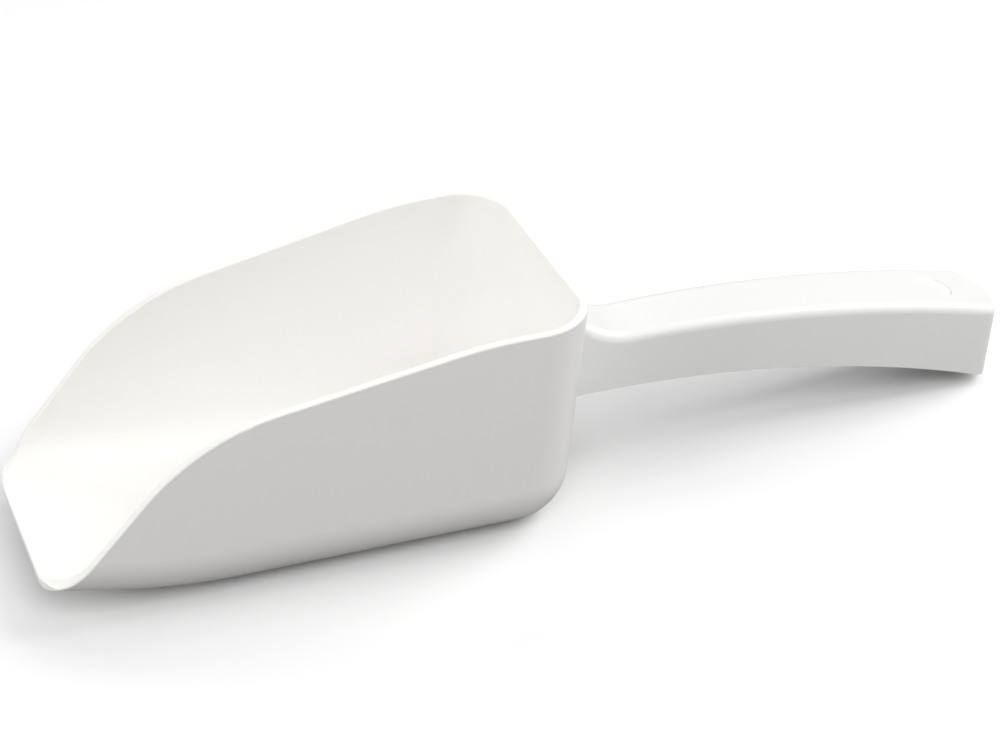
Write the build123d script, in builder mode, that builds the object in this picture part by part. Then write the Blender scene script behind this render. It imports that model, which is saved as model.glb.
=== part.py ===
"""Hand scoop for feed and grain: an open-fronted bowl with a channel-section handle.

The long axis is X, with the lip at -X and the handle at +X. The part rests on its base at Z = 0,
and the origin lies under the middle of its overall length. Distances called x below are measured
from the top of the back wall, forwards negative and towards the handle positive.
"""
from build123d import *
import os
from math import asin, atan2, cos, pi, radians, sin, sqrt, tan

# Bowl, in millimetres and degrees
bowl_length = 184.6          # lip to the top of the back wall
bowl_height = 81.8           # base to the level rim
base_width = 94.4            # across the outside of the base at the back wall, corners square
plan_taper = 0.033           # half width lost per millimetre towards the lip
plan_ease = 20.0             # past the start of the toe, where the side walls turn parallel
side_draft = 2.86            # side walls lean out
back_draft = 4.35            # back wall leans out
wall = 3.0                   # wall of the bowl
base_corner_radius = 21.8    # outside, between base and sides
lip_corner_radius = 20.2     # the same corner where it ends at the lip
back_corner_radius = 20.8    # outside, round the back wall
base_facing = 0.2            # cut off the rounded underside to leave a true flat

# Toe: the base bends up and runs straight to the lip
toe_length = 67.5
toe_rise = 12.0
toe_bend_radius = 164.3
toe_sections = 10

# Rim, seen from the side
level_rim_length = 39.0      # level stretch ahead of the back wall
shoulder_run = 50.0          # from the lip back to the corner under the shoulder's curve
shoulder_height = 66.0
shoulder_radius = 77.0
level_bend_radius = 140.0
slope_foot_setback = 4.6     # from the lip to the foot of the steep slope
slope_foot_rise = 3.9        # of that foot above the underside of the lip
slope_foot_radius = 10.0
lip_trim_radius = 23.3       # corners of the lip in plan
lip_trim_overhang = 4.7      # the trimming circle passes this far outside the wall
rim_edge_radius = 0.6

# Handle
handle_reach = 172.0         # back wall to the end, at the top
handle_top = 49.4            # crown of the handle
handle_end_top = 29.8
handle_underside = 29.1      # lower edge where it leaves the bowl
handle_end_underside = 1.3
handle_straight = 15.0       # lower edge runs level this far
handle_root_half_width = 11.4
handle_end_half_width = 15.2
handle_wall = 2.8
root_sweep_radius = 28.0     # crown swept up towards the back wall
root_flare_radius = 8.0      # sides flared out towards the back wall
root_flare_angle = 50.0      # how far round the flare turns
root_foot = 0.8              # edge of the foot that stands on the back wall
root_foot_top = 69.3         # height of the foot
end_radius = 27.0            # the end bulges, seen from above
end_corner_radius = 4.0
end_toe_radius = 7.0
end_toe_clear = 1.5          # the toe's curve turns upright this far past the end
grip_edge_radius = 3.2
rib_count = 4
rib_thickness = 1.8
rib_setback = 5.0            # ribs stop this far above the lower edge

# Round recess in the crown
recess_radius = 7.1
recess_depth = 0.7
recess_edge_radius = 0.3
recess_setback = 22.2        # from the end of the handle to its centre

# Spigot: the box on the back wall that the handle is bonded over
spigot_length = 14.0
spigot_clearance = 0.2
spigot_wall = 2.4
spigot_setback = 1.5         # above the lower edge of the handle

overrun = 12.0               # how far cutting shapes pass the work
back_x = (bowl_length - handle_reach) / 2
lip_x = back_x - bowl_length
side_slope = tan(radians(side_draft))
back_slope = tan(radians(back_draft))
wall_run = wall * sqrt(1 + side_slope**2 + plan_taper**2)


def half_width(x, z):
    """Half the outside width of the bowl."""
    toe_start = toe_length - bowl_length
    eased = min(max(0.0, toe_start - x), plan_ease)
    tapered = max(x, toe_start) - eased + eased**2 / (2 * plan_ease)
    return base_width / 2 + plan_taper * tapered + side_slope * z


def toe_angle():
    """Angle of the straight run of the toe, tangent to its bend and ending at the lip."""
    drop = toe_bend_radius - toe_rise
    return asin(toe_bend_radius / sqrt(toe_length**2 + drop**2)) - atan2(drop, toe_length)


def toe_height(distance):
    """Height of the underside, at a distance forward from the start of the toe."""
    bend = toe_bend_radius * sin(toe_angle())
    if distance < bend:
        return toe_bend_radius - sqrt(toe_bend_radius**2 - distance**2)
    return toe_rise - (toe_length - distance) * tan(toe_angle())


def toe_slope(distance):
    """Slope of the underside, at a distance forward from the start of the toe."""
    bend = toe_bend_radius * sin(toe_angle())
    if distance < bend:
        return distance / sqrt(toe_bend_radius**2 - distance**2)
    return tan(toe_angle())


def bowl_section(x, inset):
    """Cross-section of the bowl at x, drawn inside the outer skin by the inset, and closed above."""
    distance = max(0.0, toe_length - bowl_length - x)
    low = toe_height(distance) - base_facing + inset * sqrt(1 + toe_slope(distance) ** 2)
    high = bowl_height + overrun
    side = inset * wall_run / wall
    share = min(1.0, distance / toe_length)
    radius = base_corner_radius + (lip_corner_radius - base_corner_radius) * share - inset
    with BuildSketch(Plane.YZ.offset(back_x + x)) as section:
        with BuildLine():
            Polyline(
                (-half_width(x, low) + side, low),
                (half_width(x, low) - side, low),
                (half_width(x, high) - side, high),
                (-half_width(x, high) + side, high),
                close=True,
            )
        make_face()
        fillet(section.vertices().group_by(Axis.Y)[0], radius)
    return section.sketch


def back_plane(inset):
    """Plane of the back wall, inset from its outer face, facing the handle."""
    normal = Vector(1, 0, -back_slope).normalized()
    return Plane(Vector(back_x, 0, bowl_height) - normal * inset, x_dir=(0, 1, 0), z_dir=normal)


def bowl_form(inset):
    """The bowl's outer skin, or its hollow, as a solid block that reaches above the rim."""
    toe_start = toe_length - bowl_length
    step = (toe_length + overrun / 2) / toe_sections
    toe = [bowl_section(toe_start - step * i, inset) for i in range(toe_sections + 1)]
    body = [bowl_section(toe_start, inset), bowl_section(overrun, inset)]
    with BuildPart() as form:
        loft(sections=body, ruled=True)
        split(bisect_by=back_plane(inset), keep=Keep.BOTTOM)
        back = form.faces().filter_by(lambda f: abs(f.normal_at().dot(back_plane(0).z_dir)) > 0.999)
        rounded = back.edges().filter_by(lambda edge: edge.center().Z < bowl_height)
        fillet(rounded, back_corner_radius - inset)
        loft(sections=toe)
        split(bisect_by=Plane.XY, keep=Keep.TOP)
    return form.part


def strip_width(face):
    """About the width of a long narrow face."""
    return 2 * face.area / face.outer_wire().length


def wall_x(z):
    """Outer face of the back wall at height z."""
    return back_x - (bowl_height - z) * back_slope


def end_x(z):
    """Outer face of the handle's end at height z, leaning like the back wall."""
    return back_x + handle_reach - (handle_end_top - z) * back_slope


sweep_center_z = handle_top + root_sweep_radius
crown_start = wall_x(sweep_center_z) + root_foot + root_sweep_radius
crown_run = end_x(handle_end_top) - crown_start
crown_drop = handle_top - handle_end_top
crown_radius = (crown_run**2 + crown_drop**2) / (2 * crown_drop)
recess_run = crown_run - recess_setback
plan_plane = Plane((back_x, 0, bowl_height), x_dir=back_plane(0).z_dir, z_dir=(back_slope, 0, 1))
plan_reach = (handle_reach + (bowl_height - handle_end_top) * back_slope) / sqrt(1 + back_slope**2)


def crown_z(x, inset):
    """Height of the crown at x, or of a line under it by the inset."""
    return handle_top - crown_radius + sqrt((crown_radius - inset) ** 2 - (x - crown_start) ** 2)


def underside_z(x):
    """Height of the handle's lower edge at x."""
    run = end_x(handle_end_underside) - back_x - handle_straight
    drop = handle_underside - handle_end_underside
    radius = (run**2 + drop**2) / (2 * drop)
    past = max(0.0, x - back_x - handle_straight)
    return handle_underside - radius + sqrt(radius**2 - past**2)


def handle_half_width(x):
    """Half the outside width of the handle, x measured square to the back wall."""
    return handle_root_half_width + (handle_end_half_width - handle_root_half_width) * x / handle_reach


def end_outline(inset):
    """Plan outline that rounds the handle's end and reaches back past the bowl."""
    with BuildSketch() as outline:
        with Locations((plan_reach - end_radius, 0)):
            Circle(end_radius - inset)
            Rectangle(bowl_length * 2, end_radius * 2, align=(Align.MAX, Align.CENTER))
    return outline.sketch


def channel_form(inset, length):
    """Solid block that fills the handle's channel from the back wall, and reaches out below it."""
    low = handle_end_underside - overrun
    top = handle_top - inset
    end_top = end_x(handle_end_top) + end_toe_clear
    with BuildPart() as form:
        with BuildSketch(Plane.XZ):
            with BuildLine():
                Line((wall_x(low), low), (wall_x(top), top))
                Line((wall_x(top), top), (crown_start, top))
                TangentArc((crown_start, top), (end_top, crown_z(end_top, inset)), tangent=(1, 0))
                Line((end_top, crown_z(end_top, inset)), (end_x(low), low))
                Line((end_x(low), low), (wall_x(low), low))
            make_face()
        extrude(amount=handle_end_half_width * 2, both=True)
        with BuildSketch(plan_plane):
            with BuildLine():
                Polyline(
                    (0, -handle_half_width(0) + inset),
                    (length, -handle_half_width(length) + inset),
                    (length, handle_half_width(length) - inset),
                    (0, handle_half_width(0) - inset),
                    close=True,
                )
            make_face()
            add(end_outline(inset), mode=Mode.INTERSECT)
        extrude(amount=bowl_height * 2, both=True, mode=Mode.INTERSECT)
    return form.part


# Spigot on the back wall: a box open underneath, as the handle's channel is
with BuildPart() as spigot:
    spigot_inset = handle_wall + spigot_clearance
    add(channel_form(spigot_inset, spigot_length))
    add(channel_form(spigot_inset + spigot_wall, spigot_length - spigot_wall), mode=Mode.SUBTRACT)
    split(bisect_by=Plane.XY.offset(handle_underside + spigot_setback), keep=Keep.TOP)

# Bowl: skin and hollow, trimmed at the lip and along the rim
with BuildPart() as bowl:
    add(bowl_form(0))
    add(bowl_form(wall), mode=Mode.SUBTRACT)
    with BuildSketch(Plane.XY):
        trim_width = half_width(-bowl_length, toe_rise) + lip_trim_overhang
        with Locations((lip_x - overrun, 0)):
            Rectangle(overrun + lip_trim_radius, 4 * trim_width, align=(Align.MIN, Align.CENTER))
        with BuildSketch(mode=Mode.PRIVATE) as lip:
            with Locations((lip_x, 0)):
                Rectangle(2 * lip_trim_radius, 2 * trim_width, align=(Align.MIN, Align.CENTER))
            fillet(lip.vertices().group_by(Axis.X)[0], lip_trim_radius)
        add(lip.sketch, mode=Mode.SUBTRACT)
    extrude(amount=bowl_height * 2, mode=Mode.SUBTRACT)
    with BuildSketch(Plane.XZ):
        foot_x = lip_x + slope_foot_setback
        foot_z = toe_rise + slope_foot_rise
        high = bowl_height + 2 * overrun
        with BuildLine():
            FilletPolyline(
                (lip_x - overrun, foot_z),
                (foot_x, foot_z),
                (lip_x + shoulder_run, shoulder_height),
                (back_x - level_rim_length, bowl_height),
                (back_x + 2 * overrun, bowl_height),
                radius=[slope_foot_radius, shoulder_radius, level_bend_radius],
            )
            Polyline(
                (back_x + 2 * overrun, bowl_height),
                (back_x + 2 * overrun, high),
                (lip_x - overrun, high),
                (lip_x - overrun, foot_z),
            )
        make_face()
    extrude(amount=base_width, both=True, mode=Mode.SUBTRACT)
    rim = bowl.faces().filter_by(lambda face: strip_width(face) < 2 * wall)
    across = [edge for edge in rim.edges() if sum(edge in face.edges() for face in rim) > 1]
    fillet([edge for edge in rim.edges() if edge not in across], rim_edge_radius)
    add(spigot.part)
bowl.part.label = "bowl"

recess_axis = (recess_run, 0, sqrt(crown_radius**2 - recess_run**2))
recess_tangent = (recess_axis[2], 0, -recess_run)
recess_x = crown_start + recess_run
recess_center = (recess_x, 0, crown_z(recess_x, 0))

# Ribs across the handle's channel
with BuildPart() as ribs:
    add(channel_form(handle_wall, handle_reach + overrun))
    first_x = wall_x(handle_underside) + spigot_length
    rib_pitch = (end_x(handle_end_underside) - handle_wall - first_x) / (rib_count + 1)
    with BuildSketch(Plane.XZ):
        for i in range(rib_count):
            rib_x = first_x + rib_pitch * (i + 1)
            with Locations((rib_x, underside_z(rib_x) + rib_setback)):
                Rectangle(rib_thickness, bowl_height, align=(Align.CENTER, Align.MIN))
    extrude(amount=handle_end_half_width * 2, both=True, mode=Mode.INTERSECT)

# Handle: side outline and plan outline crossed, then hollowed from below
with BuildPart() as handle:
    foot_face = wall_x(root_foot_top) + root_foot
    sweep_rise = sweep_center_z - root_foot_top
    sweep_x = crown_start - sqrt(root_sweep_radius**2 - sweep_rise**2)
    low_start = back_x + handle_straight
    low_end = end_x(handle_end_underside) + end_toe_clear
    top_end = end_x(handle_end_top) + end_toe_clear
    with BuildSketch(Plane.XZ) as side:
        with BuildLine():
            Line((wall_x(root_foot_top), root_foot_top), (sweep_x, root_foot_top))
            TangentArc((crown_start, handle_top), (sweep_x, root_foot_top), tangent=(-1, 0))
            TangentArc((crown_start, handle_top), (top_end, crown_z(top_end, 0)), tangent=(1, 0))
            Line((top_end, crown_z(top_end, 0)), (low_end, underside_z(low_end)))
            TangentArc((low_start, handle_underside), (low_end, underside_z(low_end)), tangent=(1, 0))
            Line((low_start, handle_underside), (wall_x(handle_underside), handle_underside))
            Line((wall_x(handle_underside), handle_underside), (wall_x(root_foot_top), root_foot_top))
        make_face()
        fillet(side.vertices().sort_by(Axis.Y)[0], end_toe_radius)
    extrude(amount=handle_end_half_width * 2, both=True)
    turn = radians(root_flare_angle)
    flare_start = root_foot + root_flare_radius * sin(turn)
    flare_width = handle_half_width(flare_start) + root_flare_radius * (1 - cos(turn))
    reach = plan_reach + overrun
    with BuildSketch(plan_plane) as plan:
        with BuildLine():
            Line((0, flare_width), (root_foot, flare_width))
            TangentArc(
                (flare_start, handle_half_width(flare_start)), (root_foot, flare_width), tangent=(-1, 0)
            )
            Line((flare_start, handle_half_width(flare_start)), (reach, handle_half_width(reach)))
            Line((reach, handle_half_width(reach)), (reach, 0))
            Line((reach, 0), (0, 0))
            Line((0, 0), (0, flare_width))
        make_face()
        mirror(about=Plane.XZ)
        add(end_outline(0), mode=Mode.INTERSECT)
        fillet(plan.vertices().group_by(Axis.X)[-1], end_corner_radius)
    extrude(amount=bowl_height * 2, both=True, mode=Mode.INTERSECT)
    crown = handle.faces().filter_by(lambda face: face.normal_at().Z > 0.9).sort_by(Axis.X)[-1]
    fillet(crown.edges().filter_by(lambda edge: abs(edge.center().Y) > recess_radius / 2), grip_edge_radius)
    add(channel_form(handle_wall, reach), mode=Mode.SUBTRACT)
    add(ribs.part)
    with BuildSketch(Plane(recess_center, x_dir=recess_tangent, z_dir=recess_axis)):
        Circle(recess_radius)
    extrude(amount=-recess_depth, mode=Mode.SUBTRACT)
    recess_rims = handle.edges().filter_by(lambda edge: abs(edge.length - 2 * pi * recess_radius) < wall)
    fillet(recess_rims, recess_edge_radius)
handle.part.label = "handle"

os.makedirs("parts", exist_ok=True)
export_step(bowl.part, "parts/bowl.step")
export_step(handle.part, "parts/handle.step")
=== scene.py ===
"""Feed scoop: the finish of its two white polypropylene mouldings, and a plain studio around it.

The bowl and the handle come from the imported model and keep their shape. Each gets a moulded
plastic made of the same four effects: the fine skin the mould leaves, slow flow marks, fine
scuffs from use, and a light rub along the edges. Lengths are in metres.
"""
from math import cos, radians, sin

import bpy
from bpy.props import FloatProperty, FloatVectorProperty, PointerProperty
from mathutils import Matrix, Vector


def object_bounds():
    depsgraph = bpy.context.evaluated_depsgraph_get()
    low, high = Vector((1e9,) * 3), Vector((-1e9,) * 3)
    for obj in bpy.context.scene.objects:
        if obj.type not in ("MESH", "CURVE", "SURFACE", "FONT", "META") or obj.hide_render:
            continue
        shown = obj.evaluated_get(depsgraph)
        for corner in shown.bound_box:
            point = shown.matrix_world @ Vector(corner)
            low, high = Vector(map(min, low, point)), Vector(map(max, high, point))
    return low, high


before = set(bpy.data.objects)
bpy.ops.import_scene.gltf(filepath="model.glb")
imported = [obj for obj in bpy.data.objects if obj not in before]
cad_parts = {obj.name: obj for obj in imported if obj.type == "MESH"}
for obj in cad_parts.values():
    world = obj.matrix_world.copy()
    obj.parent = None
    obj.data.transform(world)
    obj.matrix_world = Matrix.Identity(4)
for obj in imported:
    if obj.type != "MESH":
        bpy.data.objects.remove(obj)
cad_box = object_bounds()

bl_info = {
    "name": "Feed Scoop Finish",
    "version": (1, 0, 0),
    "blender": (4, 5, 0),
    "location": "View3D > Sidebar > Feed Scoop",
    "description": "Finishes a moulded feed scoop and sets it in a plain studio",
    "category": "Material",
}

FLOOR_GAP = 0.0002       # the floor lies this far under the base
FLOOR_EDGES = 128        # sides of the round floor
FLOOR_MOTTLE = 0.99      # darkest part of the floor's mottle, as a share of its colour
FLOOR_ROUGHNESS = 0.9
PLASTIC_IOR = 1.49
SCUFF_DEPTH = 0.000006
SCUFF_SHADE = 0.93       # scuffs against the plastic
MARK_SHADE = (0.97, 0.965, 0.95)   # tint of the flow marks against the plastic
RUB_COLOUR = (0.93, 0.93, 0.92, 1.0)
SENSOR_WIDTH = 36.0

# Softboxes: name, power setting, place, width and height
SOFTBOXES = (
    ("Front Light", "front_power", (0.0, -1.6, 1.8), 2.0, 1.4),
    ("Handle Light", "handle_power", (1.2, 0.0, 1.0), 1.0, 1.2),
    ("Back Light", "back_power", (0.0, 1.6, 1.6), 2.0, 1.4),
    ("Lip Light", "lip_power", (-1.2, 0.0, 1.0), 1.0, 1.2),
    ("Low Lip Light", "low_lip_power", (-1.5, -0.2, 0.45), 1.0, 0.6),
    ("Back Lip Light", "back_lip_power", (-1.2, 1.0, 0.6), 1.0, 0.8),
    ("Fill Light", "fill_power", (1.0, -1.4, 0.5), 1.0, 0.8),
)


class ScoopPlastic(bpy.types.PropertyGroup):
    """Colour and surface of the white polypropylene."""

    bowl_colour: FloatVectorProperty(
        name="Bowl colour", description="White of the bowl's moulding", subtype="COLOR",
        size=3, min=0.0, max=1.0, default=(0.935, 0.925, 0.900),
    )
    handle_colour: FloatVectorProperty(
        name="Handle colour", description="White of the handle's moulding", subtype="COLOR",
        size=3, min=0.0, max=1.0, default=(0.930, 0.926, 0.912),
    )
    bowl_roughness: FloatProperty(
        name="Bowl roughness", description="Roughness of the bowl before marks and wear",
        subtype="FACTOR", min=0.0, max=1.0, default=0.36,
    )
    handle_roughness: FloatProperty(
        name="Handle roughness", description="Roughness of the handle before marks and wear",
        subtype="FACTOR", min=0.0, max=1.0, default=0.34,
    )
    grain_size: FloatProperty(
        name="Grain size", description="Size of the fine grain that the mould leaves",
        unit="LENGTH", min=0.0001, default=0.0012,
    )
    grain_depth: FloatProperty(
        name="Grain depth", description="Depth of the fine grain", unit="LENGTH",
        min=0.0, precision=6, default=0.000004,
    )
    ripple_size: FloatProperty(
        name="Ripple size", description="Size of the slow unevenness of the walls",
        unit="LENGTH", min=0.001, default=0.022,
    )
    ripple_depth: FloatProperty(
        name="Ripple depth", description="Depth of the slow unevenness", unit="LENGTH",
        min=0.0, precision=6, default=0.00006,
    )
    flow_strength: FloatProperty(
        name="Flow marks", description="How much the flow marks change the colour and gloss",
        subtype="FACTOR", min=0.0, max=1.0, default=0.35,
    )
    scuff_amount: FloatProperty(
        name="Scuffs", description="How much of the surface carries fine scuffs",
        subtype="FACTOR", min=0.0, max=1.0, default=0.30,
    )
    edge_rub: FloatProperty(
        name="Edge rub", description="How far the edges are rubbed dull and pale",
        subtype="FACTOR", min=0.0, max=1.0, default=0.5,
    )


class ScoopStudio(bpy.types.PropertyGroup):
    """Floor, light and camera."""

    floor_colour: FloatVectorProperty(
        name="Floor colour", description="Colour of the plain floor", subtype="COLOR",
        size=3, min=0.0, max=1.0, default=(0.96, 0.96, 0.96),
    )
    floor_bounce: FloatProperty(
        name="Floor bounce", description="Share of the light that the floor throws back up",
        subtype="FACTOR", min=0.0, max=1.0, default=0.38,
    )
    floor_radius: FloatProperty(
        name="Floor radius", description="Radius of the round floor", unit="LENGTH",
        min=0.5, default=6.0,
    )
    front_power: FloatProperty(
        name="Front light", description="Power of the large softbox high behind the camera",
        unit="POWER", min=0.0, default=30.0,
    )
    handle_power: FloatProperty(
        name="Handle light", description="Power of the softbox beyond the handle",
        unit="POWER", min=0.0, default=17.4,
    )
    back_power: FloatProperty(
        name="Back light", description="Power of the large softbox high behind the scoop",
        unit="POWER", min=0.0, default=13.4,
    )
    lip_power: FloatProperty(
        name="Lip light", description="Power of the softbox beyond the lip",
        unit="POWER", min=0.0, default=3.9,
    )
    low_lip_power: FloatProperty(
        name="Low lip light", description="Power of the low softbox beyond the lip",
        unit="POWER", min=0.0, default=7.6,
    )
    back_lip_power: FloatProperty(
        name="Back lip light", description="Power of the low softbox behind the lip",
        unit="POWER", min=0.0, default=4.4,
    )
    fill_power: FloatProperty(
        name="Fill light", description="Power of the low softbox on the near side",
        unit="POWER", min=0.0, default=1.3,
    )
    ambient: FloatProperty(
        name="Ambient", description="Strength of the even light from all round", min=0.0,
        default=0.01,
    )
    view_azimuth: FloatProperty(
        name="View azimuth", description="Turn of the camera about the upright axis",
        subtype="ANGLE", default=radians(-21.264),
    )
    view_elevation: FloatProperty(
        name="View elevation", description="Height of the camera above the horizon",
        subtype="ANGLE", default=radians(32.677),
    )
    view_roll: FloatProperty(
        name="View roll", description="Tilt of the camera about its own axis",
        subtype="ANGLE", default=radians(0.097),
    )
    view_distance: FloatProperty(
        name="View distance", description="Distance from the camera to its target",
        unit="LENGTH", min=0.1, default=0.8831,
    )
    view_target: FloatVectorProperty(
        name="View target", description="Point that the camera is aimed at",
        subtype="TRANSLATION", unit="LENGTH", size=3, precision=5,
        default=(-0.0110, 0.0, 0.03613),
    )
    lens: FloatProperty(
        name="Lens", description="Focal length of the camera on a 36 mm sensor",
        subtype="DISTANCE_CAMERA", min=10.0, default=93.45,
    )


def cad_node(name):
    """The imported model's object of that name."""
    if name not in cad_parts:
        raise RuntimeError(f"the packed model has no node called {name}")
    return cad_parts[name]


def add_node(tree, kind, x, y, **settings):
    """A node of that kind at a place in the tree, with its settings."""
    node = tree.nodes.new(kind)
    node.location = (x, y)
    for name, value in settings.items():
        setattr(node, name, value)
    return node


def math_node(tree, operation, x, y, first, second=None, clamp=False):
    """A Math node fed by sockets or numbers, returned by its output."""
    node = add_node(tree, "ShaderNodeMath", x, y, operation=operation, use_clamp=clamp)
    for socket, value in zip(node.inputs, (first, second)):
        if isinstance(value, bpy.types.NodeSocket):
            tree.links.new(value, socket)
        elif value is not None:
            socket.default_value = value
    return node.outputs[0]


def map_range(tree, x, y, value, low, high):
    """A smooth Map Range node from low..high to 0..1, returned by its output."""
    node = add_node(tree, "ShaderNodeMapRange", x, y, interpolation_type="SMOOTHSTEP")
    tree.links.new(value, node.inputs["Value"])
    for name, number in (("From Min", low), ("From Max", high)):
        if isinstance(number, bpy.types.NodeSocket):
            tree.links.new(number, node.inputs[name])
        else:
            node.inputs[name].default_value = number
    return node.outputs["Result"]


def noise(tree, x, y, vector, scale, detail=2.0, roughness=0.5, distortion=0.0):
    """A Noise Texture returned by its value."""
    node = add_node(tree, "ShaderNodeTexNoise", x, y)
    tree.links.new(vector, node.inputs["Vector"])
    if isinstance(scale, bpy.types.NodeSocket):
        tree.links.new(scale, node.inputs["Scale"])
    else:
        node.inputs["Scale"].default_value = scale
    node.inputs["Detail"].default_value = detail
    node.inputs["Roughness"].default_value = roughness
    node.inputs["Distortion"].default_value = distortion
    return node.outputs["Fac"]


def new_effect(name, inputs, outputs):
    """An empty shader node group with named sockets: (group, its inputs, its output node)."""
    group = bpy.data.node_groups.new(name, "ShaderNodeTree")
    for label, kind, value in inputs:
        socket = group.interface.new_socket(label, in_out="INPUT", socket_type=kind)
        if value is not None:
            socket.default_value = value
    for label, kind in outputs:
        group.interface.new_socket(label, in_out="OUTPUT", socket_type=kind)
    source = add_node(group, "NodeGroupInput", -1200, 0)
    result = add_node(group, "NodeGroupOutput", 600, 0)
    return group, source.outputs, result.inputs


def moulded_skin():
    """Fine grain and slow ripples of a moulded wall."""
    group, given, out = new_effect(
        "Moulded Skin",
        [
            ("Vector", "NodeSocketVector", None),
            ("Grain Size", "NodeSocketFloat", 0.0012),
            ("Grain Depth", "NodeSocketFloat", 0.000004),
            ("Ripple Size", "NodeSocketFloat", 0.022),
            ("Ripple Depth", "NodeSocketFloat", 0.00006),
        ],
        [("Height", "NodeSocketFloat"), ("Dulling", "NodeSocketFloat")],
    )
    grain_scale = math_node(group, "DIVIDE", -950, 200, 1.0, given["Grain Size"])
    ripple_scale = math_node(group, "DIVIDE", -950, -200, 1.0, given["Ripple Size"])
    grain = noise(group, -750, 200, given["Vector"], grain_scale, detail=3.0, roughness=0.6)
    ripple = noise(group, -750, -200, given["Vector"], ripple_scale, detail=1.0, roughness=0.4)
    grain_height = math_node(group, "MULTIPLY", -500, 200, grain, given["Grain Depth"])
    ripple_height = math_node(group, "MULTIPLY", -500, -200, ripple, given["Ripple Depth"])
    height = math_node(group, "ADD", -250, 0, grain_height, ripple_height)
    group.links.new(height, out["Height"])
    group.links.new(map_range(group, -250, 300, grain, 0.3, 0.7), out["Dulling"])
    return group


def flow_marks():
    """Long soft marks left where the plastic ran through the mould, and a slow drift of tone."""
    group, given, out = new_effect(
        "Flow Marks",
        [
            ("Vector", "NodeSocketVector", None),
            ("Colour", "NodeSocketColor", (0.9, 0.9, 0.9, 1.0)),
            ("Mark Colour", "NodeSocketColor", (0.8, 0.8, 0.8, 1.0)),
            ("Strength", "NodeSocketFloat", 0.35),
        ],
        [("Colour", "NodeSocketColor"), ("Mark", "NodeSocketFloat")],
    )
    stretch = add_node(group, "ShaderNodeMapping", -950, 150)
    stretch.inputs["Scale"].default_value = (0.16, 1.0, 0.6)
    group.links.new(given["Vector"], stretch.inputs["Vector"])
    streaks = noise(group, -750, 150, stretch.outputs[0], 90.0, detail=3.0, distortion=0.6)
    drift = noise(group, -750, -150, given["Vector"], 14.0, detail=1.0)
    mark = math_node(
        group, "MULTIPLY", -300, 0,
        map_range(group, -500, 150, streaks, 0.45, 0.75),
        map_range(group, -500, -150, drift, 0.35, 0.7),
    )
    share = math_node(group, "MULTIPLY", -100, 100, mark, given["Strength"])
    blend = add_node(group, "ShaderNodeMix", 100, 100, data_type="RGBA")
    group.links.new(share, blend.inputs["Factor"])
    group.links.new(given["Colour"], blend.inputs[6])
    group.links.new(given["Mark Colour"], blend.inputs[7])
    group.links.new(blend.outputs[2], out["Colour"])
    group.links.new(mark, out["Mark"])
    return group


def fine_scuffs():
    """Fine scratches that run mostly one way, in patches."""
    group, given, out = new_effect(
        "Fine Scuffs",
        [
            ("Vector", "NodeSocketVector", None),
            ("Amount", "NodeSocketFloat", 0.3),
            ("Depth", "NodeSocketFloat", 0.00001),
        ],
        [("Mask", "NodeSocketFloat"), ("Height", "NodeSocketFloat")],
    )
    lines = []
    for turn, across, y in ((0.12, 900.0, 300), (-0.35, 650.0, 0)):
        stretch = add_node(group, "ShaderNodeMapping", -950, y)
        stretch.inputs["Rotation"].default_value = (0.1, turn / 3, turn)
        stretch.inputs["Scale"].default_value = (0.03, 1.0, 1.0)
        group.links.new(given["Vector"], stretch.inputs["Vector"])
        hair = noise(group, -750, y, stretch.outputs[0], across, detail=1.0)
        lines.append(map_range(group, -500, y, hair, 0.66, 0.72))
    hairs = math_node(group, "MAXIMUM", -300, 150, *lines)
    patches = noise(group, -750, -300, given["Vector"], 28.0, detail=2.0)
    threshold = math_node(group, "SUBTRACT", -500, -500, 0.85, given["Amount"])
    patch = map_range(group, -300, -300, patches, threshold, 0.9)
    mask = math_node(group, "MULTIPLY", -100, 0, hairs, patch)
    group.links.new(mask, out["Mask"])
    sunk = math_node(group, "MULTIPLY", 100, -200, mask, given["Depth"])
    group.links.new(math_node(group, "MULTIPLY", 300, -200, sunk, -1.0), out["Height"])
    return group


def rubbed_edges():
    """Where an edge stands proud and is rubbed."""
    group, given, out = new_effect(
        "Rubbed Edges",
        [
            ("Vector", "NodeSocketVector", None),
            ("Radius", "NodeSocketFloat", 0.0012),
            ("Amount", "NodeSocketFloat", 0.5),
        ],
        [("Mask", "NodeSocketFloat")],
    )
    rounded = add_node(group, "ShaderNodeBevel", -750, 150, samples=6)
    group.links.new(given["Radius"], rounded.inputs["Radius"])
    surface = add_node(group, "ShaderNodeNewGeometry", -750, -50)
    together = add_node(group, "ShaderNodeVectorMath", -500, 100, operation="DOT_PRODUCT")
    group.links.new(rounded.outputs["Normal"], together.inputs[0])
    group.links.new(surface.outputs["Normal"], together.inputs[1])
    edge = map_range(group, -300, 100, together.outputs["Value"], 0.995, 0.90)
    patchy = noise(group, -500, -250, given["Vector"], 160.0, 3.0)
    breaks = map_range(group, -300, -250, patchy, 0.3, 0.65)
    rubbed = math_node(group, "MULTIPLY", -100, 0, edge, breaks)
    group.links.new(math_node(group, "MULTIPLY", 100, 0, rubbed, given["Amount"]), out["Mask"])
    return group


def effect(name, maker):
    """The shared effect of that name, made the first time it is asked for."""
    return bpy.data.node_groups.get(name) or maker()


def use_effect(tree, group, x, y, **values):
    """An effect placed in a material: its inputs are given as sockets or numbers."""
    node = add_node(tree, "ShaderNodeGroup", x, y, node_tree=group, width=180)
    for name, value in values.items():
        socket = node.inputs[name.replace("_", " ")]
        if isinstance(value, bpy.types.NodeSocket):
            tree.links.new(value, socket)
        else:
            socket.default_value = value
    return node.outputs


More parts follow.
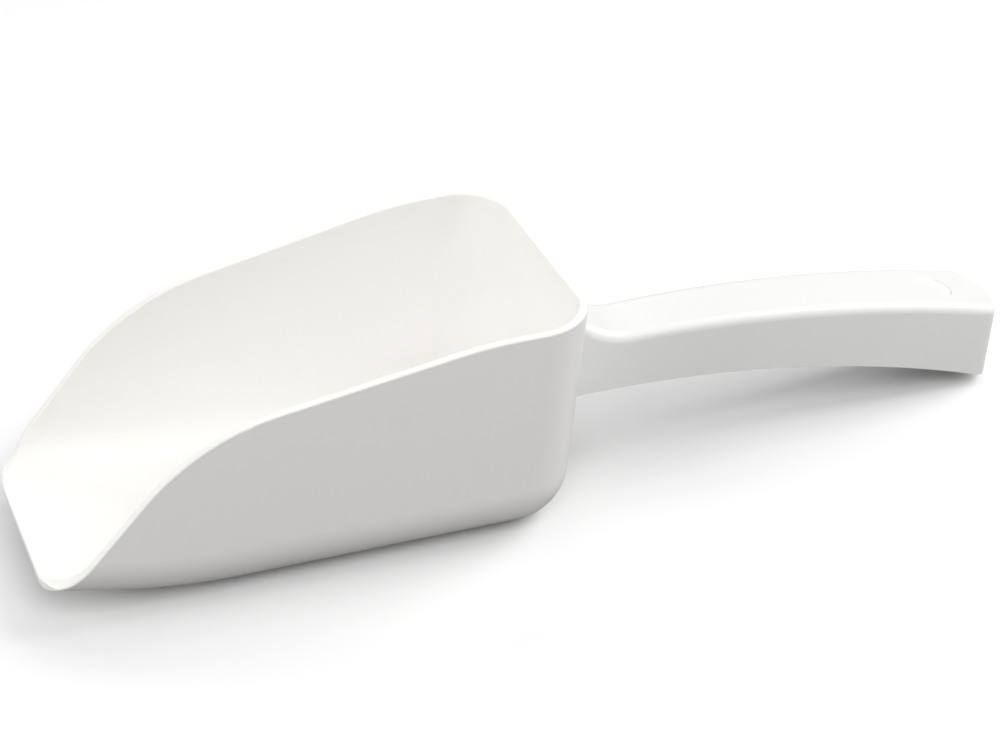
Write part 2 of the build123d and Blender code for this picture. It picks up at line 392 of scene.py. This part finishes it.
def plastic_material(name, colour, roughness, plastic):
    """White polypropylene with its skin, flow marks, scuffs and rubbed edges."""
    material = bpy.data.materials.new(name)
    material.use_nodes = True
    tree = material.node_tree
    tree.nodes.clear()
    place = add_node(tree, "ShaderNodeTexCoord", -1400, 0).outputs["Object"]
    tone = (*colour, 1.0)
    mark_tone = (*(part * shade for part, shade in zip(colour, MARK_SHADE)), 1.0)

    skin = use_effect(
        tree, effect("Moulded Skin", moulded_skin), -1000, -300, Vector=place,
        Grain_Size=plastic.grain_size, Grain_Depth=plastic.grain_depth,
        Ripple_Size=plastic.ripple_size, Ripple_Depth=plastic.ripple_depth,
    )
    flow = use_effect(
        tree, effect("Flow Marks", flow_marks), -1000, 300, Vector=place,
        Colour=tone, Mark_Colour=mark_tone, Strength=plastic.flow_strength,
    )
    scuffs = use_effect(
        tree, effect("Fine Scuffs", fine_scuffs), -1000, 50, Vector=place,
        Amount=plastic.scuff_amount, Depth=SCUFF_DEPTH,
    )
    edges = use_effect(
        tree, effect("Rubbed Edges", rubbed_edges), -1000, -600, Vector=place,
        Amount=plastic.edge_rub,
    )

    scuffed = add_node(tree, "ShaderNodeMix", -600, 300, data_type="RGBA")
    scuff_share = math_node(tree, "MULTIPLY", -780, 150, scuffs["Mask"], 0.35)
    tree.links.new(scuff_share, scuffed.inputs["Factor"])
    tree.links.new(flow["Colour"], scuffed.inputs[6])
    scuffed.inputs[7].default_value = (*(part * SCUFF_SHADE for part in colour), 1.0)
    rubbed = add_node(tree, "ShaderNodeMix", -350, 300, data_type="RGBA")
    tree.links.new(math_node(tree, "MULTIPLY", -600, -600, edges["Mask"], 0.5), rubbed.inputs["Factor"])
    tree.links.new(scuffed.outputs[2], rubbed.inputs[6])
    rubbed.inputs[7].default_value = RUB_COLOUR

    dulled = math_node(tree, "MULTIPLY_ADD", -600, 0, skin["Dulling"], 0.05)
    dulled.node.inputs[2].default_value = roughness - 0.025
    marked = math_node(tree, "MULTIPLY_ADD", -450, 0, flow["Mark"], 0.06)
    tree.links.new(dulled, marked.node.inputs[2])
    scuffed_gloss = math_node(tree, "MULTIPLY_ADD", -300, 0, scuffs["Mask"], 0.18)
    tree.links.new(marked, scuffed_gloss.node.inputs[2])
    gloss = math_node(tree, "MULTIPLY_ADD", -150, 0, edges["Mask"], 0.15, clamp=True)
    tree.links.new(scuffed_gloss, gloss.node.inputs[2])

    relief = add_node(tree, "ShaderNodeBump", -150, -300)
    relief.inputs["Strength"].default_value = 1.0
    relief.inputs["Distance"].default_value = 1.0
    height = math_node(tree, "ADD", -400, -300, skin["Height"], scuffs["Height"])
    tree.links.new(height, relief.inputs["Height"])

    shader = add_node(tree, "ShaderNodeBsdfPrincipled", 100, 100)
    shader.inputs["IOR"].default_value = PLASTIC_IOR
    tree.links.new(rubbed.outputs[2], shader.inputs["Base Color"])
    tree.links.new(gloss, shader.inputs["Roughness"])
    tree.links.new(relief.outputs["Normal"], shader.inputs["Normal"])
    output = add_node(tree, "ShaderNodeOutputMaterial", 400, 100)
    tree.links.new(shader.outputs["BSDF"], output.inputs["Surface"])
    return material


def finish_node(name, material):
    """Gives a moulding its plastic."""
    node = cad_node(name)
    if not node.material_slots:
        raise RuntimeError(f"the node {name} has no material slot to fill")
    for slot in node.material_slots:
        slot.material = material


def floor_material(colour, bounce):
    """Matt pale floor with a faint mottle, clear from underneath.

    It shows its own colour to the camera and throws back less light than that colour would.
    """
    material = bpy.data.materials.new("Studio Floor")
    material.use_nodes = True
    tree = material.node_tree
    tree.nodes.clear()
    place = add_node(tree, "ShaderNodeTexCoord", -1100, 0).outputs["Object"]
    mottle = noise(tree, -900, 0, place, 6.0, detail=3.0)
    shade = add_node(tree, "ShaderNodeMix", -650, 100, data_type="RGBA")
    tree.links.new(mottle, shade.inputs["Factor"])
    shade.inputs[6].default_value = (*colour, 1.0)
    shade.inputs[7].default_value = (*(part * FLOOR_MOTTLE for part in colour), 1.0)
    seen = add_node(tree, "ShaderNodeLightPath", -650, 500)
    tone = add_node(tree, "ShaderNodeMix", -400, 200, data_type="RGBA")
    tree.links.new(seen.outputs["Is Camera Ray"], tone.inputs["Factor"])
    tone.inputs[6].default_value = (bounce, bounce, bounce, 1.0)
    tree.links.new(shade.outputs[2], tone.inputs[7])
    shader = add_node(tree, "ShaderNodeBsdfPrincipled", -150, 100)
    shader.inputs["Roughness"].default_value = FLOOR_ROUGHNESS
    shader.inputs["Specular IOR Level"].default_value = 0.0
    tree.links.new(tone.outputs[2], shader.inputs["Base Color"])
    clear = add_node(tree, "ShaderNodeBsdfTransparent", -150, -250)
    under = add_node(tree, "ShaderNodeNewGeometry", -150, 350)
    either = add_node(tree, "ShaderNodeMixShader", 150, 100)
    tree.links.new(under.outputs["Backfacing"], either.inputs["Fac"])
    tree.links.new(shader.outputs["BSDF"], either.inputs[1])
    tree.links.new(clear.outputs["BSDF"], either.inputs[2])
    output = add_node(tree, "ShaderNodeOutputMaterial", 400, 100)
    tree.links.new(either.outputs["Shader"], output.inputs["Surface"])
    return material


def add_softbox(name, place, target, width, height, power):
    """A soft rectangular light at a place, facing the target."""
    aim = (Vector(target) - Vector(place)).to_track_quat("-Z", "Y").to_euler()
    bpy.ops.object.light_add(type="AREA", location=place, rotation=aim)
    light = bpy.context.object
    light.name = name
    light.data.shape = "RECTANGLE"
    light.data.size = width
    light.data.size_y = height
    light.data.energy = power
    return light


class SCOOP_OT_finish_bowl(bpy.types.Operator):
    """Give the bowl its white moulded plastic"""

    bl_idname = "scoop.finish_bowl"
    bl_label = "Finish Bowl"

    def execute(self, context):
        plastic = context.scene.scoop_plastic
        material = plastic_material(
            "Bowl Plastic", plastic.bowl_colour, plastic.bowl_roughness, plastic
        )
        finish_node("bowl", material)
        return {"FINISHED"}


class SCOOP_OT_finish_handle(bpy.types.Operator):
    """Give the handle its white moulded plastic"""

    bl_idname = "scoop.finish_handle"
    bl_label = "Finish Handle"

    def execute(self, context):
        plastic = context.scene.scoop_plastic
        material = plastic_material(
            "Handle Plastic", plastic.handle_colour, plastic.handle_roughness, plastic
        )
        finish_node("handle", material)
        return {"FINISHED"}


class SCOOP_OT_set_stage(bpy.types.Operator):
    """Lay the floor, hang the lights and set the camera"""

    bl_idname = "scoop.set_stage"
    bl_label = "Set Stage"

    def execute(self, context):
        scene = context.scene
        studio = scene.scoop_studio
        scene.view_settings.view_transform = "Standard"
        bpy.ops.object.select_all(action="DESELECT")
        bpy.ops.mesh.primitive_circle_add(
            vertices=FLOOR_EDGES, radius=studio.floor_radius, fill_type="NGON",
            location=(0, 0, cad_box[0].z - FLOOR_GAP),
        )
        floor = context.object
        floor.name = "studio_floor"
        bpy.ops.object.transform_apply(location=True)
        floor.data.materials.append(floor_material(studio.floor_colour, studio.floor_bounce))

        middle = (cad_box[0] + cad_box[1]) / 2
        for name, power, place, width, height in SOFTBOXES:
            add_softbox(name, place, middle, width, height, getattr(studio, power))

        world = bpy.data.worlds.new("Studio")
        world.use_nodes = True
        world.node_tree.nodes["Background"].inputs["Color"].default_value = (1.0, 1.0, 1.0, 1.0)
        world.node_tree.nodes["Background"].inputs["Strength"].default_value = studio.ambient
        scene.world = world

        turn, rise = studio.view_azimuth, studio.view_elevation
        back = Vector((sin(turn) * cos(rise), -cos(turn) * cos(rise), sin(rise)))
        place = Vector(studio.view_target) + back * studio.view_distance
        facing = (-back).to_track_quat("-Z", "Y").to_matrix()
        facing = facing @ Matrix.Rotation(studio.view_roll, 3, "Z")
        bpy.ops.object.camera_add(location=place, rotation=facing.to_euler())
        camera = context.object
        camera.name = "View Camera"
        camera.data.sensor_width = SENSOR_WIDTH
        camera.data.lens = studio.lens
        scene.camera = camera
        return {"FINISHED"}


class SCOOP_PT_finish(bpy.types.Panel):
    """Sizes, colours and steps of the feed scoop's finish"""

    bl_idname = "SCOOP_PT_finish"
    bl_label = "Feed Scoop"
    bl_space_type = "VIEW_3D"
    bl_region_type = "UI"
    bl_category = "Feed Scoop"

    def draw(self, context):
        layout = self.layout
        layout.use_property_split = True
        scene = context.scene
        for group, title in ((scene.scoop_plastic, "Plastic"), (scene.scoop_studio, "Studio")):
            box = layout.box()
            box.label(text=title)
            for name in group.__annotations__:
                box.prop(group, name)
        for step in STEPS:
            layout.operator(step.bl_idname)


STEPS = (SCOOP_OT_finish_bowl, SCOOP_OT_finish_handle, SCOOP_OT_set_stage)
CLASSES = (ScoopPlastic, ScoopStudio, *STEPS, SCOOP_PT_finish)


def register():
    for item in CLASSES:
        bpy.utils.register_class(item)
    bpy.types.Scene.scoop_plastic = PointerProperty(type=ScoopPlastic)
    bpy.types.Scene.scoop_studio = PointerProperty(type=ScoopStudio)


def unregister():
    del bpy.types.Scene.scoop_studio
    del bpy.types.Scene.scoop_plastic
    for item in reversed(CLASSES):
        bpy.utils.unregister_class(item)


def main():
    """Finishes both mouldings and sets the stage."""
    register()
    bpy.ops.scoop.finish_bowl()
    bpy.ops.scoop.finish_handle()
    bpy.ops.scoop.set_stage()


if __name__ == "__main__":
    main()
